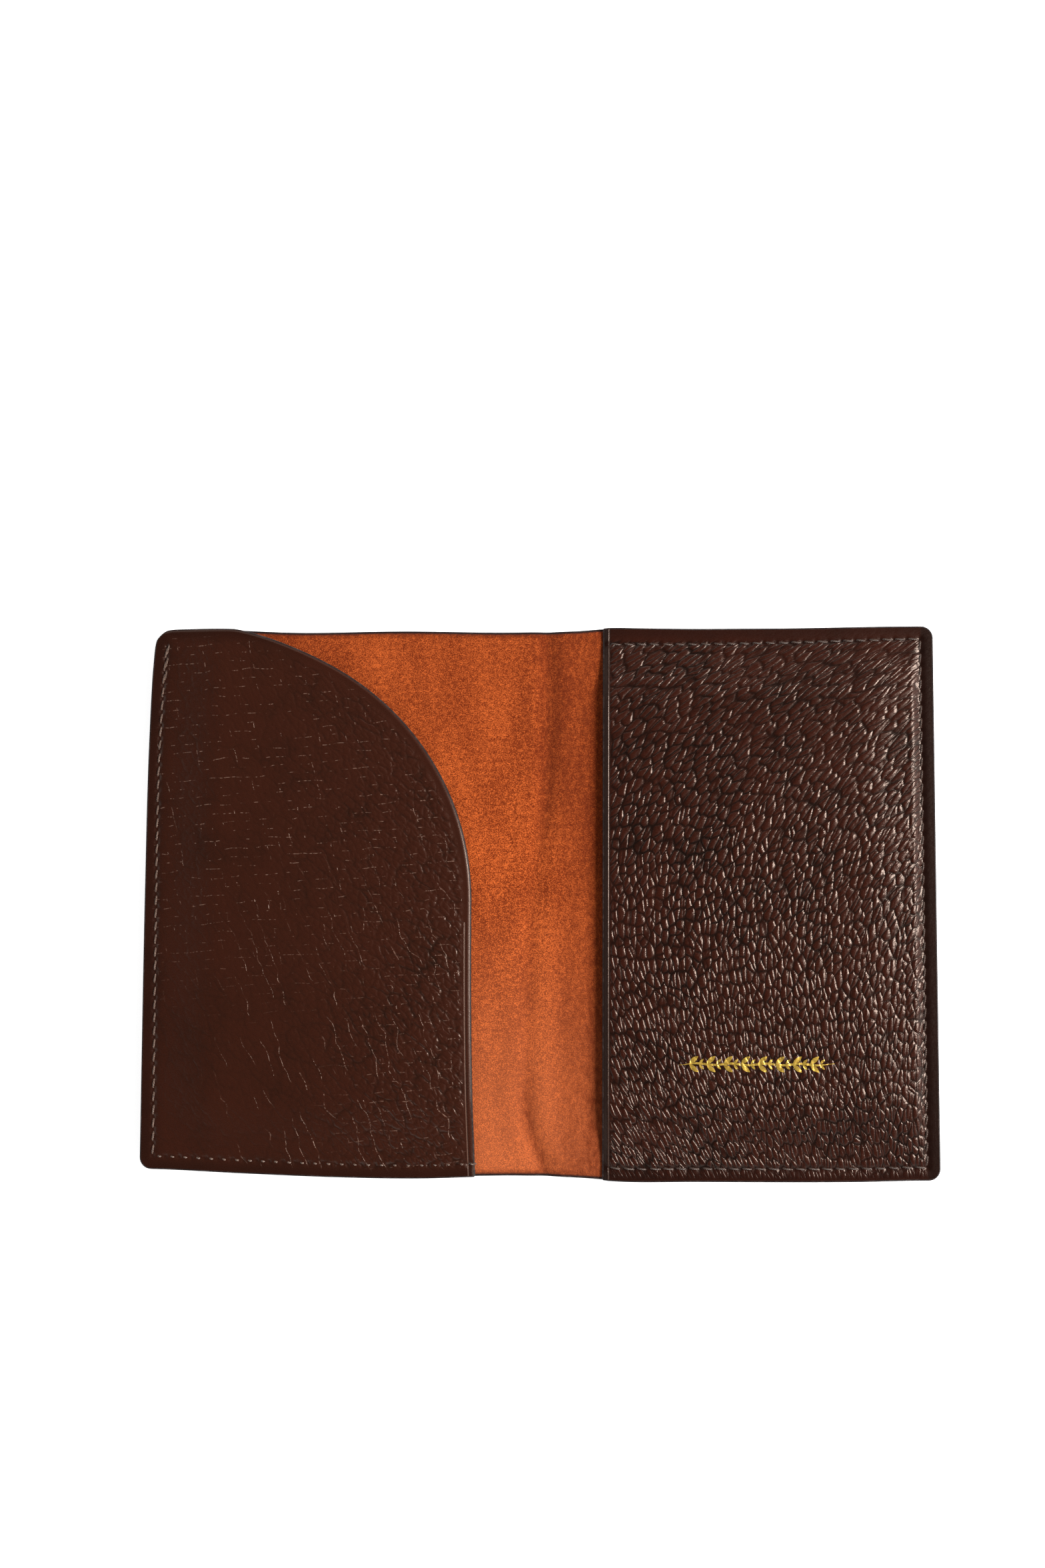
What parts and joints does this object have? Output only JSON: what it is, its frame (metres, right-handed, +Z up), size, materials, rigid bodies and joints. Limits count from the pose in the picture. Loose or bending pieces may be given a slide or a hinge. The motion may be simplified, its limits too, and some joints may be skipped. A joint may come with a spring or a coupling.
{
  "type": "passport holder wallet",
  "caption": "Folding leather passport wallet, suede lined, with a swept pocket and a full pocket for the passport's covers.",
  "frame": {"origin": "centre of the footprint of the open wallet, on the outer face of the cover, which lies on the table", "axes": "+X from the front cover to the back cover, +Y to the head of the wallet, +Z up out of the lining"},
  "size_m": [0.1994, 0.137, 0.0049],
  "materials": {
    "cover_leather": "pebbled, satin",
    "panel_leather": "pebbled, semi-gloss",
    "suede": "napped suede, matt",
    "stiffener_board": "plain, matt",
    "thread": "waxed, twisted",
    "edge_paint": "burnished",
    "gold_foil": "hot-stamped, bright"
  },
  "bodies": {
    "back_half": {"cover_back": "cover_leather", "stiffener_back": "stiffener_board", "lining_back": "suede", "pocket_back": "panel_leather", "edge_paint_back": "edge_paint", "edge_paint_pocket_back": "edge_paint", "needle_thread_back": "thread", "bobbin_thread_back": "thread", "foil_ornament": "gold_foil"},
    "spine": {"cover_spine": "cover_leather", "lining_spine": "suede", "edge_paint_spine_foot": "edge_paint", "edge_paint_spine_head": "edge_paint"},
    "front_half": {"cover_front": "cover_leather", "stiffener_front": "stiffener_board", "lining_front": "suede", "pocket_front": "panel_leather", "edge_paint_front": "edge_paint", "edge_paint_pocket_front": "edge_paint", "needle_thread_front": "thread", "bobbin_thread_front": "thread"}
  },
  "joints": [
    {"name": "back_fold", "type": "hinge", "parent": "back_half", "child": "spine", "pos_m": [0.0045, 0, 0.0021], "axis": [0, 1, 0], "range_deg": [0, 90]},
    {"name": "front_fold", "type": "hinge", "parent": "spine", "child": "front_half", "pos_m": [-0.0045, 0, 0.0021], "axis": [0, 1, 0], "range_deg": [0, 90]}
  ],
  "couplings": [
    {"joint": "front_fold", "follows": "back_fold", "ratio": 1}
  ]
}
